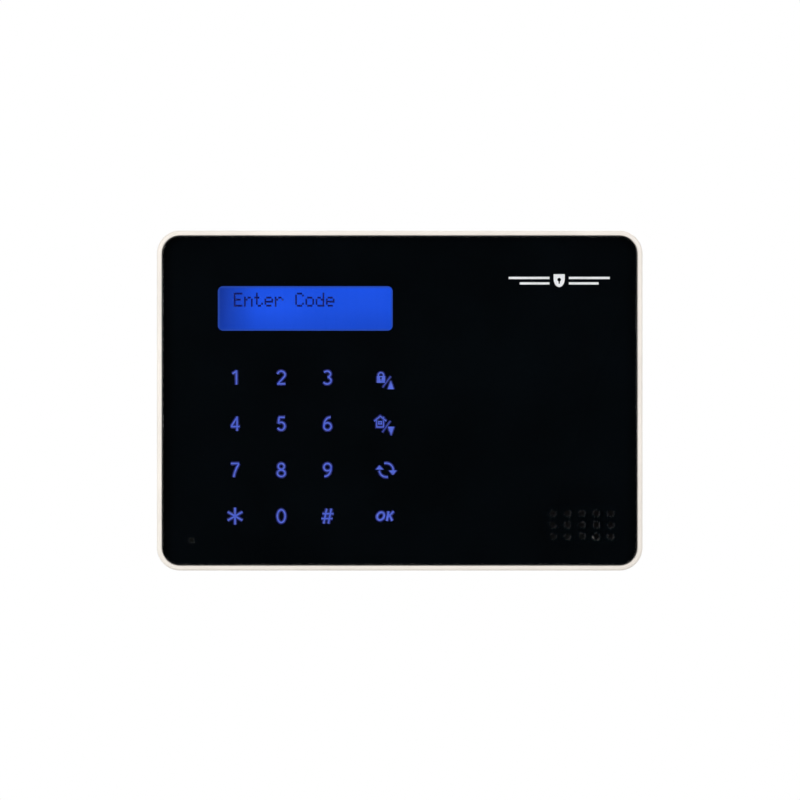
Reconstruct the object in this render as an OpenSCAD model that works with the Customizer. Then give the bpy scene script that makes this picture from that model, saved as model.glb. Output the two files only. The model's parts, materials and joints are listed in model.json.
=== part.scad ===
// Wall-mounted alarm keypad with a touch-sensitive front panel and a display.
// A back plate screws to the wall. The front half hangs on it from two hinge
// bars, swings out from the bottom and is held shut by a screw underneath.
//
// Every module works in the front view: x to the right, y up, and z from the
// wall towards the person in front. upright() then stands the part up, so that
// +Z is up, the front looks along -Y and the wall is the plane Y = 0.

/* [Housing] */
// Width of the housing
body_w = 168; // [140:1:210]
// Height of the housing
body_h = 117.6; // [114:0.2:150]
// Depth from the wall to the front of the rim
body_d = 26; // [25:0.5:34]
// Corner radius of the housing
corner_r = 8; // [6:0.5:12]
// Thickness of the housing's side walls
wall = 2.2; // [1.8:0.1:3]
// Width of the rim around the front panel
rim = 1.8; // [1.4:0.1:2.6]
// Radius along the rim's outer edge
rim_round = 1.1; // [0.4:0.1:1.2]
// Thickness of the deck behind the front panel
deck_t = 1.5; // [1.2:0.1:2.5]
// Gap between the housing's back edge and the wall
back_gap = 2; // [2:0.1:3]

/* [Front panel] */
// Thickness of the clear acrylic sheet
panel_t = 2; // [1.5:0.1:3]
// Width of the polished bevel along the sheet's front edge
panel_bevel = 0.5; // [0.2:0.1:0.8]
// Gap between the sheet and the rim, on each side
panel_gap = 0.15; // [0.1:0.05:0.4]
// How far the sheet lies below the rim
panel_recess = 0.3; // [0:0.1:0.8]
// Thickness of the black film behind the sheet
film_t = 0.2; // [0.1:0.05:0.4]
// Thickness of the tape that holds the sheet on the deck
tape_t = 0.2; // [0.1:0.05:0.5]
// Width of the tape
tape_w = 4; // [2:0.5:5]
// Distance from the sheet's edge to the tape
tape_inset = 1.5; // [0.5:0.5:3]

/* [Display] */
// Width of the clear window
window_w = 60.5; // [50:0.5:63]
// Height of the clear window
window_h = 15.4; // [12:0.2:16]
// Corner radius of the window
window_r = 1.8; // [0.5:0.1:4]
// Distance from the housing's left side to the window's centre
window_left = 51.3; // [50:0.1:60]
// Distance from the housing's top to the window's centre
window_top = 26.9; // [26:0.1:30]
// Width of the display's metal bezel
bezel_w = 71.3; // [68:0.1:76]
// Height of the display's metal bezel
bezel_h = 26.8; // [24:0.1:30]
// Depth of the display, from its board to its bezel
bezel_d = 4.5; // [4:0.1:5]
// Thickness of the bezel's sheet metal
bezel_t = 0.4; // [0.3:0.1:0.6]
// Width of the display's board
lcd_board_w = 80; // [78:0.5:82]
// Height of the display's board
lcd_board_h = 36; // [34:0.5:36]

/* [Keys] */
// Distance between neighbouring keys in a row and in a column
key_pitch = 16; // [14:0.5:17]
// Distance from the third column to the column of symbols
last_pitch = 20; // [16:0.5:22]
// Distance from the housing's left side to the first column
keys_left = 27; // [24:0.5:30]
// Distance from the housing's top to the first row
keys_top = 50.8; // [50:0.1:54]
// Outer width of the light funnel behind each key
funnel_w = 11; // [9:0.5:12]
// Depth of the light funnels
funnel_h = 8.3; // [7:0.1:10]
// Thickness of the board with the touch sensors
touch_t = 1; // [0.8:0.1:1.6]

/* [Sound] */
// Distance from the housing's right side to the grille's centre
grille_right = 21; // [20:0.5:30]
// Distance from the housing's bottom to the grille's centre
grille_bottom = 15.8; // [15:0.2:24]
// Columns of grille holes
grille_cols = 5; // [3:1:5]
// Rows of grille holes
grille_rows = 3; // [1:1:3]
// Distance between the columns of grille holes
grille_pitch_x = 5; // [4:0.5:5]
// Distance between the rows of grille holes
grille_pitch_y = 4; // [3.5:0.5:5]
// Diameter of a grille hole
grille_hole = 2; // [1:0.1:2.4]
// Diameter of the loudspeaker
speaker_dia = 26; // [24:0.5:27]
// Distance from the housing's left side to the microphone
mic_left = 12; // [10:0.5:14]
// Distance from the housing's bottom to the microphone
mic_bottom = 10.5; // [9:0.5:14]
// Diameter of the microphone's hole
mic_hole = 1.6; // [1:0.1:2]

/* [Boards] */
// Thickness of the main board and of the display's board
board_t = 1.6; // [1.2:0.1:1.6]
// Distance from the housing's left side to the main board
board_left = 10; // [8:0.5:12]
// How far the main board reaches beyond the right side of the display's board
board_extra = 9; // [9:0.5:14]
// Distance from the housing's top and bottom to the main board
board_end = 8.8; // [8:0.2:10]
// Thickness of the card reader's antenna board
antenna_t = 0.8; // [0.6:0.1:1.2]
// Height of the antenna board
antenna_h = 58; // [40:1:60]

/* [Back plate] */
// Thickness of the back plate
plate_t = 2.5; // [2:0.1:3]
// Gap between the back plate and the housing around it
plate_gap = 1.4; // [1.2:0.1:2]
// Distance from the middle to each hinge bar
hinge_x = 50; // [40:1:56]
// Radius of the hinge bars
bar_r = 1.2; // [1:0.1:1.4]
// Width of the housing's hooks over the hinge bars
hook_w = 8; // [6:0.5:12]
// Distance between the two slots for a flush wall box
box_pitch = 83.5; // [60:0.5:90]
// Distance across between the four wall screws
wall_pitch_x = 124; // [100:1:130]
// Distance up between the four wall screws
wall_pitch_y = 80; // [70:1:84]
// Diameter of the wall screws' holes, and width of the slots
wall_hole = 4.5; // [4:0.1:5.5]
// Length of the slots for a flush wall box
slot_l = 9; // [7:0.5:12]
// Width of the cable opening
cable_w = 44; // [30:1:50]
// Height of the cable opening
cable_h = 24; // [16:1:30]

/* [Controls] */
// Diameter of the locking screw's shank
lock_dia = 3; // [2.5:0.5:4]
// Diameter of the tamper plunger's shaft
plunger_dia = 3; // [2:0.5:4]
// How far the tamper plunger springs out
plunger_travel = 2.5; // [1:0.5:3]
// Number of wire terminals
terminals = 4; // [2:1:4]
// Distance between wire terminals
terminal_pitch = 5.08; // [5:0.01:5.5]
// Number of selector switches
dips = 4; // [2:1:4]
// Distance between selector switches
dip_pitch = 2.54; // [2.54:0.01:3]
// How far a selector switch slides
dip_travel = 1.6; // [1:0.1:2]
// Diameter of the contrast trimmer's rotor
rotor_dia = 4.5; // [4:0.1:5]

/* [Hidden] */
$fn = 64;
// Gap on each side of a shaft that turns or slides in its bore
running = 0.05;
// Gap around pieces that are set down beside each other
loose = 0.1;
// Overlap that joins two shapes of one solid
join = 0.5;

// Distances from the wall, counted back from the front of the rim
panel_front = body_d - panel_recess;
panel_back = panel_front - panel_t;
film_back = panel_back - film_t;
deck_front = film_back - tape_t;
deck_back = deck_front - deck_t;
touch_back = deck_front - touch_t;
board_front = touch_back - funnel_h;
board_back = board_front - board_t;
bezel_front = deck_back - loose;
lcd_front = bezel_front - bezel_d;
lcd_back = lcd_front - board_t;

// The housing, its hollow and the front sheet, seen from the front
inner_w = body_w - 2 * wall;
inner_h = body_h - 2 * wall;
inner_r = corner_r - wall;
panel_w = body_w - 2 * rim;
panel_h = body_h - 2 * rim;
panel_r = corner_r - rim;

// The display and the openings in front of it
lcd_x = window_left - body_w / 2;
lcd_y = body_h / 2 - window_top;
view_w = bezel_w - 6.8;
view_h = bezel_h - 10.4;
lcd_hole_x = lcd_board_w / 2 - 2.5;
lcd_hole_y = lcd_board_h / 2 - 2.5;
glass_t = 2.2;

// The keys, and the boards and the diffuser behind them
col_x = [for (i = [0:3]) keys_left - body_w / 2 + min(i, 2) * key_pitch + (i > 2 ? last_pitch : 0)];
row_y = [for (i = [0:3]) body_h / 2 - keys_top - i * key_pitch];
keys_x = (col_x[0] + col_x[3]) / 2;
keys_y = (row_y[0] + row_y[3]) / 2;
touch_w = col_x[3] - col_x[0] + 15;
touch_h = row_y[0] - row_y[3] + 15;
touch_r = 1.5;
key_window = funnel_w - 2.5;

// The loudspeaker and the microphone
grille_x = body_w / 2 - grille_right;
grille_y = grille_bottom - body_h / 2;
grille_flare = grille_hole + 0.5;
gasket_t = 1;
speaker_r = speaker_dia / 2;
speaker_front = deck_back - gasket_t;
basket_d = 3.4;
basket_t = 0.8;
magnet_r = 6.5;
magnet_t = 2.6;
mic_x = mic_left - body_w / 2;
mic_y = mic_bottom - body_h / 2;
mic_r = 3;
mic_d = 2.7;
boot_t = 1.2;
boot_d = mic_d + 0.7;

// The main board, its posts and the antenna board beside it
board_x0 = board_left - body_w / 2;
board_x1 = lcd_x + lcd_board_w / 2 + board_extra;
board_w = board_x1 - board_x0;
board_x = (board_x0 + board_x1) / 2;
board_h = body_h - 2 * board_end;
board_posts = [
    [board_x0 + 4.5, keys_y + 20], [board_x0 + 4.5, keys_y - 18],
    [board_x1 - 5, board_h / 2 - 4], [board_x1 - 5, 4], [board_x1 - 5, 4 - board_h / 2]
];
post_r = 2.8;
lcd_post_r = 2.2;
post_screw_r = 1.25;
antenna_w = inner_w / 2 - board_x1 - 12;
antenna_x = (board_x1 + inner_w / 2) / 2;
antenna_y = 8;
track_w = 0.6;
track_t = 0.15;

// The back plate and its hinge bars
plate_w = inner_w - 2 * plate_gap;
plate_h = inner_h - 2 * plate_gap;
plate_r = inner_r - plate_gap;
bar_y = inner_h / 2 - 2.1;
bar_z = plate_t + 1.5;
hook_gap = 0.5;
hook_t = 3.6;
ear_t = 2;
rib_inset = 5;
rib_t = 1.2;
rib_h = 3;

// The locking screw and what it passes through
lock_r = lock_dia / 2;
lock_z = 7;
lock_head_r = lock_dia * 0.95;
lock_head_h = 1.6;
shelf_t = 2;
shelf_y = -inner_h / 2;
boss_y = shelf_y + shelf_t + 0.6;
boss_l = 9;
insert_r = lock_r + 0.8;
insert_l = 6;

// The tamper switch, its plunger and its spring
tamper_x = board_x0 + 29;
tamper_y = keys_y - 22;
plunger_r = plunger_dia / 2;
plunger_head_r = plunger_r + 0.9;
plunger_head_h = 1.5;
guide_end = plunger_head_h + plunger_travel + 1.5;
guide_r = plunger_r + 1.6;
guide_depth = 4.2;
spring_wire = 0.4;
spring_turns = 4;

// The wire terminals
terminal_x = board_x + 18;
terminal_y = -34;
terminal_w = terminals * terminal_pitch + 1;
terminal_d = 8;
terminal_h = 8;
chamber_w = 3.8;
chamber_z = board_back - 4;
screw_head_r = 1.85;
screw_shank_r = 1.25;

// The selector switches, the trimmer and the sockets for the leads
dip_x = board_x0 + 26;
dip_y = keys_y + 4;
dip_h = 3.2;
slider_l = 1.7;
slider_w = 1.2;
trimmer_x = board_x0 + 19;
trimmer_y = board_h / 2 - 12;
trimmer_w = 6.6;
trimmer_h = 3;
rotor_r = rotor_dia / 2;
rotor_pocket = 1.2;
socket_x = board_x1 - 6;
socket_ys = [grille_y + 11, grille_y + 23];
socket_w = 6;
socket_h = 4;
plug_l = 3.5;

// Where each lead leaves its plug, and where it is soldered at its other end
lead_dia = 1.6;
plug_end = [for (y = socket_ys) [socket_x + socket_w / 2 + plug_l, y, board_back - socket_h / 2]];
tag_end = [grille_x - 10.4, grille_y + 4.6, speaker_front - basket_d + 0.15];
pad_end = [antenna_x - antenna_w / 2 + 5, antenna_y - antenna_h / 2 + 3, deck_back - antenna_t];
speaker_route = [
    plug_end[0], plug_end[0] + [3, 0, 0], 0.6 * plug_end[0] + 0.4 * tag_end,
    tag_end - [2.5, 0, 0], tag_end
];
antenna_route = [
    plug_end[1], plug_end[1] + [3, 0, 0], plug_end[1] + [7, 1, 1.5], pad_end - [1, 0, 5.5],
    pad_end - [0, 0, 2], pad_end
];

TERMINAL_SCREWS = [for (i = [1:terminals]) str("terminal_screw_", i)];
DIP_SLIDERS = [for (i = [1:dips]) str("dip_slider_", i)];

// ---------------------------------------------------------------- helpers

// Stands a part drawn in the front view up against the wall
module upright() {
    rotate([90, 0, 0]) children();
}

// Rectangle with round corners
module rounded(w, h, r) {
    square([w - 2 * r, h], center = true);
    square([w, h - 2 * r], center = true);
    for (sx = [-1, 1], sy = [-1, 1])
        translate([sx * (w / 2 - r), sy * (h / 2 - r)]) circle(r = r);
}

// Flat piece with round corners, from z0 to z1
module slab(w, h, r, z0, z1) {
    translate([0, 0, z0]) linear_extrude(z1 - z0) rounded(w, h, r);
}

// Square-cornered block centred on x and y, from z0 to z1
module block(w, h, z0, z1) {
    translate([-w / 2, -h / 2, z0]) cube([w, h, z1 - z0]);
}

// Round rod or hole along z, from z0 to z1
module rod(r, z0, z1) {
    translate([0, 0, z0]) cylinder(r = r, h = z1 - z0);
}

// Round rod or hole along x, of length l, centred on x
module bar(r, l) {
    rotate([0, 90, 0]) cylinder(r = r, h = l, center = true);
}

// Places children at every key
module at_keys() {
    for (x = col_x, y = row_y) translate([x, y, 0]) children();
}

// Places children at every hole of the loudspeaker's grille
module at_grille() {
    for (i = [0:grille_cols - 1], j = [0:grille_rows - 1])
        translate([
            grille_x + (i - (grille_cols - 1) / 2) * grille_pitch_x,
            grille_y + (j - (grille_rows - 1) / 2) * grille_pitch_y, 0
        ]) children();
}

// Places children at the four corners of a rectangle
module at_corners(w, h) {
    for (sx = [-1, 1], sy = [-1, 1]) translate([sx * w / 2, sy * h / 2, 0]) children();
}

// Points of a rounded path through the given route, n steps to a leg, with its
// first and last legs left straight
function leg_point(p, i, t) =
    let (a = p[max(i - 1, 0)], b = p[i], c = p[i + 1], d = p[min(i + 2, len(p) - 1)])
    0.5 * (2 * b + (c - a) * t + (2 * a - 5 * b + 4 * c - d) * t * t
        + (3 * b - a - 3 * c + d) * t * t * t);
function smooth_path(p, n) = concat(
    [p[0]], [for (i = [1:len(p) - 3], k = [0:n - 1]) leg_point(p, i, k / n)],
    [p[len(p) - 2], p[len(p) - 1]]);
function unit(v) = v / norm(v);
function direction(p, i) = unit(p[min(i + 1, len(p) - 1)] - p[max(i - 1, 0)]);

// Round tube of radius r along the points of p; side is a direction that the
// path never runs along
module tube(p, r, sides, side) {
    rings = [
        for (i = [0:len(p) - 1])
            let (d = direction(p, i), u = unit(cross(side, d)), v = cross(d, u))
            for (k = [0:sides - 1]) p[i] + r * (cos(360 * k / sides) * u + sin(360 * k / sides) * v)
    ];
    walls = [
        for (i = [0:len(p) - 2], k = [0:sides - 1])
            let (a = i * sides + k, b = i * sides + (k + 1) % sides)
            [a, a + sides, b + sides, b]
    ];
    first = [for (k = [0:sides - 1]) k];
    last = [for (k = [sides - 1:-1:0]) (len(p) - 1) * sides + k];
    polyhedron(points = rings, faces = concat([first], walls, [last]), convexity = 6);
}

// ---------------------------------------------------------------- wall half

module back_plate() {
    color("whitesmoke") upright() difference() {
        union() {
            slab(plate_w, plate_h, plate_r, 0, plate_t);
            plate_rib();
            lock_boss();
            for (sx = [-1, 1]) translate([sx * hinge_x, 0, 0]) hinge_ears();
            up_arrow();
        }
        for (sx = [-1, 1]) translate([sx * hinge_x, 0, 0])
            translate([-hook_w / 2 - hook_gap, bar_y - 2.6, -1]) cube([hook_w + 2 * hook_gap, 20, 30]);
        slab(cable_w, cable_h, 2, -1, plate_t + 1);
        at_corners(wall_pitch_x, wall_pitch_y) rod(wall_hole / 2, -1, plate_t + 1);
        for (sx = [-1, 1]) translate([sx * box_pitch / 2, 0, 0])
            slab(slot_l, wall_hole, wall_hole / 2 - 0.001, -1, plate_t + 1);
        translate([tamper_x, tamper_y, 0]) rod(plunger_head_r + 0.8, -1, plate_t + 1);
        translate([0, boss_y - 1, lock_z]) rotate([-90, 0, 0]) cylinder(r = insert_r, h = insert_l + 1);
        translate([0, boss_y, lock_z]) rotate([-90, 0, 0]) cylinder(r = lock_r + 0.2, h = boss_l - 1);
    }
    color("whitesmoke") upright() hinge_bars();
}

// Stiffening rib around the inside of the plate
module plate_rib() {
    w = plate_w - 2 * rib_inset;
    h = plate_h - 2 * rib_inset;
    difference() {
        slab(w, h, plate_r, plate_t - join, plate_t + rib_h);
        slab(w - 2 * rib_t, h - 2 * rib_t, plate_r - rib_t, 0, plate_t + rib_h + 1);
    }
}

// Block that holds the locking screw's thread
module lock_boss() {
    boss_wall = 2.5;
    boss_top = lock_z + insert_r + 1.8;
    translate([0, boss_y + boss_l / 2, 0])
        block(2 * (insert_r + boss_wall), boss_l, plate_t - join, boss_top);
}

// Two ears that carry a hinge bar, before the slot between them is cut
module hinge_ears() {
    w = hook_w + 2 * hook_gap + 2 * ear_t;
    y0 = bar_y - 3.6;
    translate([-w / 2, y0, 0]) cube([w, plate_h / 2 - y0, bar_z + bar_r + 0.5]);
}

// The bars that the front half hangs on
module hinge_bars() {
    for (sx = [-1, 1]) translate([sx * hinge_x, bar_y, bar_z]) bar(bar_r, hook_w + 2 * hook_gap + ear_t);
}

// Raised arrow that shows which edge of the plate goes up
module up_arrow() {
    translate([0, 30, plate_t - join]) linear_extrude(join + 0.4)
        polygon([[-5, 0], [5, 0], [0, 8]]);
}

module thread_insert() {
    color("goldenrod") upright() translate([0, boss_y, lock_z]) rotate([-90, 0, 0]) difference() {
        cylinder(r = insert_r, h = insert_l);
        translate([0, 0, -1]) cylinder(r = lock_r + running, h = insert_l + 2);
    }
}

module locking_screw() {
    head_y = shelf_y - 0.3;
    drive_w = 0.7;
    drive_depth = 0.9;
    color("silver") upright() translate([0, head_y, lock_z]) rotate([-90, 0, 0]) difference() {
        union() {
            translate([0, 0, -lock_head_h]) cylinder(r = lock_head_r, h = lock_head_h);
            cylinder(r = lock_r, h = boss_y - head_y + insert_l);
        }
        for (a = [0, 90]) rotate([0, 0, a]) translate([-lock_r, -drive_w / 2, -lock_head_h - 1])
            cube([lock_dia, drive_w, drive_depth + 1]);
    }
}

// ---------------------------------------------------------------- housing

module front_housing() {
    color("ivory") upright() difference() {
        union() {
            difference() {
                housing_block();
                slab(inner_w, inner_h, inner_r, back_gap - 1, deck_back);
            }
            for (sx = [-1, 1]) translate([sx * hinge_x, 0, 0]) hook();
            for (p = board_posts) translate(p) rod(post_r, board_front, deck_back + join);
            translate([lcd_x, lcd_y, 0]) at_corners(2 * lcd_hole_x, 2 * lcd_hole_y)
                rod(lcd_post_r, lcd_front, deck_back + join);
            speaker_ring();
            lock_shelf();
        }
        slab(panel_w + 2 * panel_gap, panel_h + 2 * panel_gap, panel_r + panel_gap, deck_front, body_d + 1);
        deck_openings();
        for (p = board_posts) translate(p) rod(post_screw_r + running, board_front - 1, deck_back - 1.5);
        translate([lcd_x, lcd_y, 0]) at_corners(2 * lcd_hole_x, 2 * lcd_hole_y)
            rod(post_screw_r - 0.25 + running, lcd_front - 1, deck_back - 0.5);
        for (sx = [-1, 1]) translate([sx * hinge_x, bar_y, bar_z]) bar(bar_r + running, hook_w + 2);
        lock_notch();
    }
}

// Outer shape of the housing, with a rounded edge along the rim
module housing_block() {
    slab(body_w, body_h, corner_r, back_gap, body_d - rim_round);
    hull() for (a = [0:18:90]) {
        step_in = rim_round * (1 - cos(a));
        top = body_d - rim_round * (1 - sin(a));
        slab(body_w - 2 * step_in, body_h - 2 * step_in, corner_r - step_in, top - 0.05, top);
    }
}

// Hook that reaches down over a hinge bar
module hook() {
    translate([-hook_w / 2, bar_y, bar_z - hook_t / 2])
        cube([hook_w, inner_h / 2 + join - bar_y, hook_t]);
    for (sx = [-1, 1]) translate([sx * (hook_w / 2 - 0.6), inner_h / 2 - 1, 0])
        block(1.2, 2 + join, bar_z + hook_t / 2 - join, bar_z + 8);
}

// Wall around the loudspeaker that centres it behind the grille
module speaker_ring() {
    intersection() {
        translate([grille_x, grille_y, 0]) difference() {
            rod(speaker_r + 1.4, speaker_front - 1.6, deck_back + join);
            rod(speaker_r + 0.2, speaker_front - 3, deck_back);
        }
        slab(inner_w + wall, inner_h + wall, inner_r, 0, body_d - 1);
    }
}

// Inner shelf that the locking screw's head clamps
module lock_shelf() {
    w = 2 * lock_head_r + 12;
    translate([0, shelf_y + (shelf_t - join) / 2, 0])
        block(w, shelf_t + join, plate_t + 0.8, lock_z + lock_head_r + 2);
}

// Slot that slides off the screw's shank, and room for its head below
module lock_notch() {
    z1 = lock_z + lock_head_r + 0.6;
    translate([0, -body_h / 2, 0]) block(2 * lock_head_r + 3, 2 * wall, back_gap - 1, z1);
    translate([0, shelf_y, 0]) block(lock_dia + 0.6, 3 * shelf_t, back_gap - 1, lock_z);
    translate([0, shelf_y - 1, lock_z]) rotate([-90, 0, 0]) cylinder(r = lock_r + 0.3, h = 2 * shelf_t);
}

// Openings in the deck for the display, the keys, the loudspeaker and the microphone
module deck_openings() {
    z0 = deck_back - 0.5;
    z1 = deck_front + 1;
    translate([lcd_x, lcd_y, 0]) slab(view_w + 2, view_h + 2, window_r, z0, z1);
    translate([keys_x, keys_y, 0]) slab(touch_w + 2 * loose, touch_h + 2 * loose, touch_r + loose, z0, z1);
    translate([grille_x, grille_y, 0]) rod(speaker_r - 2, z0, z1);
    translate([mic_x, mic_y, 0]) rod(mic_hole / 2 + 0.4, z0, z1);
}

// Holes for the loudspeaker and the microphone through what lies between z0 and z1
module sound_holes(z0, z1) {
    at_grille() rod(grille_hole / 2, z0 - 1, z1 + 1);
    translate([mic_x, mic_y, 0]) rod(mic_hole / 2, z0 - 1, z1 + 1);
}

module front_panel() {
    flare_d = (grille_flare - grille_hole) / 2;
    color("black", 0.5) upright() difference() {
        hull() {
            slab(panel_w, panel_h, panel_r, panel_back, panel_front - panel_bevel);
            slab(panel_w - 2 * panel_bevel, panel_h - 2 * panel_bevel, panel_r - panel_bevel,
                panel_back, panel_front);
        }
        sound_holes(panel_back, panel_front);
        at_grille() translate([0, 0, panel_front - flare_d])
            cylinder(r1 = grille_hole / 2, r2 = grille_flare / 2 + flare_d, h = 2 * flare_d);
        translate([mic_x, mic_y, panel_front - flare_d])
            cylinder(r1 = mic_hole / 2, r2 = mic_hole / 2 + 2 * flare_d, h = 2 * flare_d);
    }
}

module print_film() {
    color("black") upright() difference() {
        slab(panel_w, panel_h, panel_r, film_back, panel_back);
        sound_holes(film_back, panel_back);
        translate([lcd_x, lcd_y, 0]) slab(window_w, window_h, window_r, film_back - 1, panel_back + 1);
    }
}

module panel_tape() {
    w = panel_w - 2 * tape_inset;
    h = panel_h - 2 * tape_inset;
    r = panel_r - tape_inset;
    color("dimgray") upright() difference() {
        slab(w, h, r, deck_front, film_back);
        slab(w - 2 * tape_w, h - 2 * tape_w, max(r - tape_w, 0.5), deck_front - 1, film_back + 1);
    }
}

// ---------------------------------------------------------------- display

module lcd_bezel() {
    color("darkslategray") upright() translate([lcd_x, lcd_y, 0]) difference() {
        block(bezel_w, bezel_h, lcd_front, bezel_front);
        block(bezel_w - 2 * bezel_t, bezel_h - 2 * bezel_t, lcd_front - 1, bezel_front - bezel_t);
        block(view_w, view_h, lcd_front, bezel_front + 1);
    }
}

module lcd_glass() {
    color("lightsteelblue") upright() translate([lcd_x, lcd_y, 0])
        block(bezel_w - 2 * bezel_t - 1, bezel_h - 2 * bezel_t - 1.5,
            bezel_front - bezel_t - glass_t, bezel_front - bezel_t);
}

module lcd_backlight() {
    color("white") upright() translate([lcd_x, lcd_y, 0])
        block(bezel_w - 2 * bezel_t - 2, bezel_h - 2 * bezel_t - 2.5,
            lcd_front, bezel_front - bezel_t - glass_t);
}

module lcd_board() {
    color("darkgreen") upright() translate([lcd_x, lcd_y, 0]) difference() {
        block(lcd_board_w, lcd_board_h, lcd_back, lcd_front);
        at_corners(2 * lcd_hole_x, 2 * lcd_hole_y) rod(post_screw_r, lcd_back - 1, lcd_front + 1);
    }
}

// Strip of contacts between the display's board and the main board
module lcd_header() {
    color("dimgray") upright() translate([lcd_x - lcd_board_w / 2 + 31, lcd_y + lcd_board_h / 2 - 2.5, 0])
        block(16 * 2.54, 2.4, board_front, lcd_back);
}

module lcd_screws() {
    color("silver") upright() translate([lcd_x, lcd_y, 0]) at_corners(2 * lcd_hole_x, 2 * lcd_hole_y)
        small_screw(lcd_back, post_screw_r - 0.25, 2, 1.2, 5);
}

// Screw whose head lies under the surface at z, with its shank going up
module small_screw(z, r, head_r, head_h, l) {
    difference() {
        union() {
            rod(head_r, z - head_h, z);
            rod(r, z - head_h / 2, z + l);
        }
        for (a = [0, 90]) rotate([0, 0, a]) block(head_r * 1.2, 0.5, z - head_h - 1, z - head_h / 2);
    }
}

// ---------------------------------------------------------------- keys

module key_diffuser() {
    color("white") upright() translate([keys_x, keys_y, 0])
        slab(touch_w, touch_h, touch_r, deck_front, film_back);
}

module touch_board() {
    color("darkgreen") upright() difference() {
        translate([keys_x, keys_y, 0]) slab(touch_w, touch_h, touch_r, touch_back, deck_front);
        at_keys() block(key_window, key_window, touch_back - 1, deck_front + 1);
    }
}

// Strip of contacts between the touch board and the main board
module touch_header() {
    color("dimgray") upright() translate([keys_x, keys_y - touch_h / 2 + 1, 0])
        block(17, 1.8, board_front, touch_back);
}

// White funnels that carry each key's light forward, joined by a thin sheet
module light_funnels() {
    color("white") upright() difference() {
        union() {
            translate([keys_x, keys_y, 0])
                block(col_x[3] - col_x[0] + funnel_w, row_y[0] - row_y[3] + funnel_w,
                    touch_back - 0.8, touch_back);
            at_keys() block(funnel_w, funnel_w, board_front, touch_back);
        }
        at_keys() block(funnel_w - 1.6, funnel_w - 1.6, board_front - 1, touch_back + 1);
    }
}

module key_leds() {
    color("deepskyblue") upright() at_keys() block(1.6, 0.8, board_front, board_front + 0.6);
}

// ---------------------------------------------------------------- main board

module main_board() {
    color("darkgreen") upright() difference() {
        translate([board_x, 0, 0]) slab(board_w, board_h, 1.5, board_back, board_front);
        for (p = board_posts) translate(p) rod(post_screw_r + 0.2, board_back - 1, board_front + 1);
    }
}

module board_screws() {
    color("silver") upright() for (p = board_posts) translate(p)
        small_screw(board_back, post_screw_r, 2.5, 1.8, board_t + 5);
}

module processor() {
    color("black") upright() translate([board_x - 10, 24, 0]) union() {
        block(12, 12, board_back - 1.6, board_back - 0.1);
        for (i = [-5:5]) translate([i, 0, 0]) block(0.4, 14, board_back - 0.5, board_back);
        for (i = [-5:5]) translate([0, i, 0]) block(14, 0.4, board_back - 0.5, board_back);
    }
}

module capacitors() {
    color("midnightblue") upright() for (i = [0:1]) translate([board_x + 26, 30 + i * 9, 0]) {
        rod(3.15, board_back - 6.5, board_back - 0.4);
        block(6.6, 6.6, board_back - 0.6, board_back);
    }
}

// Small surface-mounted parts on the back of the board
module board_chips() {
    chips = [
        [-32, 30, 5, 4], [-17, 36, 5, 4], [5, 36, 6.5, 6],
        [-28, 18, 11, 3.5], [8, 24, 4, 3], [-30, -26, 5, 4]
    ];
    color("dimgray") upright() for (c = chips) translate([board_x + c[0], c[1], 0])
        block(c[2], c[3], board_back - 1.4, board_back);
}

// ---------------------------------------------------------------- sound

module speaker_gasket() {
    color("dimgray") upright() translate([grille_x, grille_y, 0]) difference() {
        rod(speaker_r, speaker_front, deck_back);
        rod(speaker_r - 2, speaker_front - 1, deck_back + 1);
    }
}

module speaker_frame() {
    color("silver") upright() translate([grille_x, grille_y, 0]) {
        translate([0, 0, speaker_front - basket_d]) rotate_extrude() polygon([
            [magnet_r - 2, 0], [magnet_r + 2, 0],
            [speaker_r - 2, basket_d - basket_t], [speaker_r, basket_d - basket_t],
            [speaker_r, basket_d], [speaker_r - 3, basket_d],
            [magnet_r + 1.2, basket_t], [magnet_r - 2, basket_t]
        ]);
    }
    color("silver") upright() translate(tag_end + [2, 0, 0])
        block(4, 3.4, -0.75, 0.75);
}

module speaker_magnet() {
    color("dimgray") upright() translate([grille_x, grille_y, 0])
        rod(magnet_r, speaker_front - basket_d - magnet_t, speaker_front - basket_d);
}

module speaker_cone() {
    r1 = magnet_r - 3;
    r2 = speaker_r - 3.4;
    r3 = speaker_r - 2.1;
    z = basket_d;
    skin = 0.25;
    color("black") upright() translate([grille_x, grille_y, speaker_front - basket_d])
        rotate_extrude() polygon([
            [0, 1.6], [r1, 1.2], [r2, z - 0.1], [r2 + 0.3, z], [r3, z],
            [r3, z + skin], [r2, z + skin], [r1, 1.6], [0, 2]
        ]);
}

module acoustic_mesh() {
    w = (grille_cols - 1) * grille_pitch_x + grille_flare + 2;
    h = (grille_rows - 1) * grille_pitch_y + grille_flare + 2;
    color("black") upright() translate([grille_x, grille_y, 0]) slab(w, h, 2, deck_front, film_back);
}

module microphone() {
    mic_back = deck_back - boot_t - mic_d + 0.9;
    color("silver") upright() translate([mic_x, mic_y, 0]) rod(mic_r, mic_back, deck_back - 0.3);
}

module mic_boot() {
    color("black") upright() translate([mic_x, mic_y, 0]) difference() {
        rod(mic_r + boot_t, deck_back - boot_d, deck_back);
        rod(mic_r, deck_back - boot_d - 1, deck_back - 0.3);
        rod(mic_hole / 2 + 0.4, deck_back - boot_d, deck_back + 1);
    }
}

// Two pins from the microphone to the main board
module mic_pins() {
    color("silver") upright() for (sx = [-1, 1]) translate([mic_x + sx * 1.27, mic_y, 0])
        rod(0.25, board_front, deck_back - boot_t - mic_d + 0.9);
}

// ---------------------------------------------------------------- antenna and leads

module antenna_board() {
    color("darkgreen") upright() translate([antenna_x, antenna_y, 0])
        slab(antenna_w, antenna_h, 2, deck_back - antenna_t, deck_back);
}

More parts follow.
